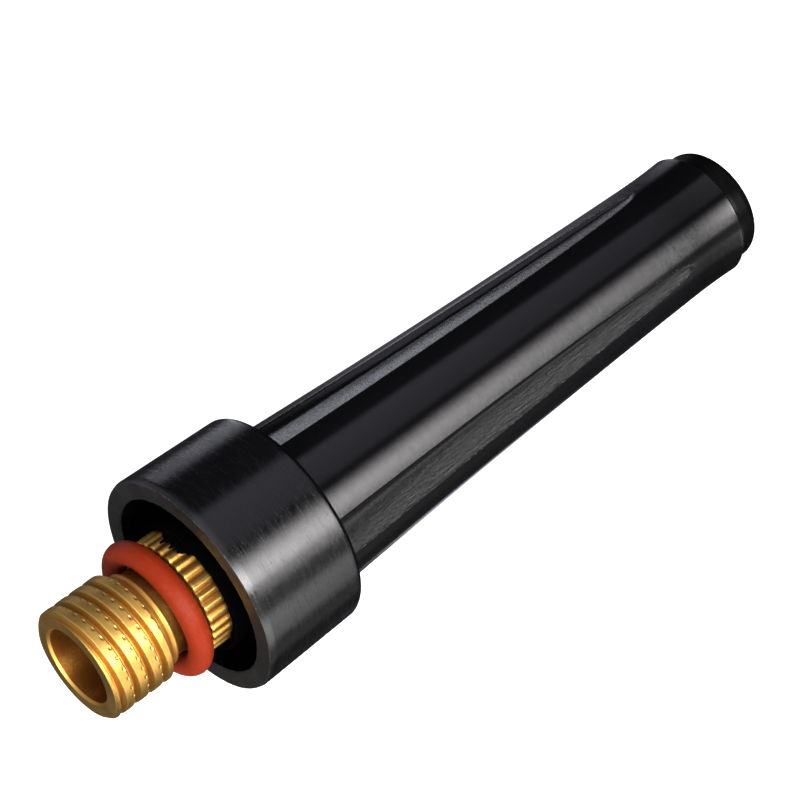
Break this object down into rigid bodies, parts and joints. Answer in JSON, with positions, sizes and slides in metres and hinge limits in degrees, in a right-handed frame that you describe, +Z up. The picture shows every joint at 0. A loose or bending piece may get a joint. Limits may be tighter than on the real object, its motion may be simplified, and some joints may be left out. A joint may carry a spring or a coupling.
{
  "type": "tig torch back cap",
  "caption": "Medium TIG torch back cap: a fluted, tapered phenolic handle with a collar, a threaded brass insert and a silicone sealing ring.",
  "frame": {"origin": "under the middle of the cap as it lies on its side: halfway along its length, below its axis, at the lowest line of the collar", "axes": "+X along the cap's axis from the brass nose to the closed tip, 10 mm above the origin; +Z up from the surface that it lies on"},
  "size_m": [0.0742, 0.02, 0.02],
  "materials": {
    "phenolic": "polished black phenolic moulding with faint turned polishing marks",
    "brass": "bright turned free-cutting brass",
    "silicone": "satin orange-red silicone",
    "phenolic_plug": "black phenolic, as moulded"
  },
  "bodies": {
    "root": {"cap_body": "phenolic", "threaded_insert": "brass", "o_ring": "silicone", "end_plug": "phenolic_plug"}
  },
  "joints": []
}
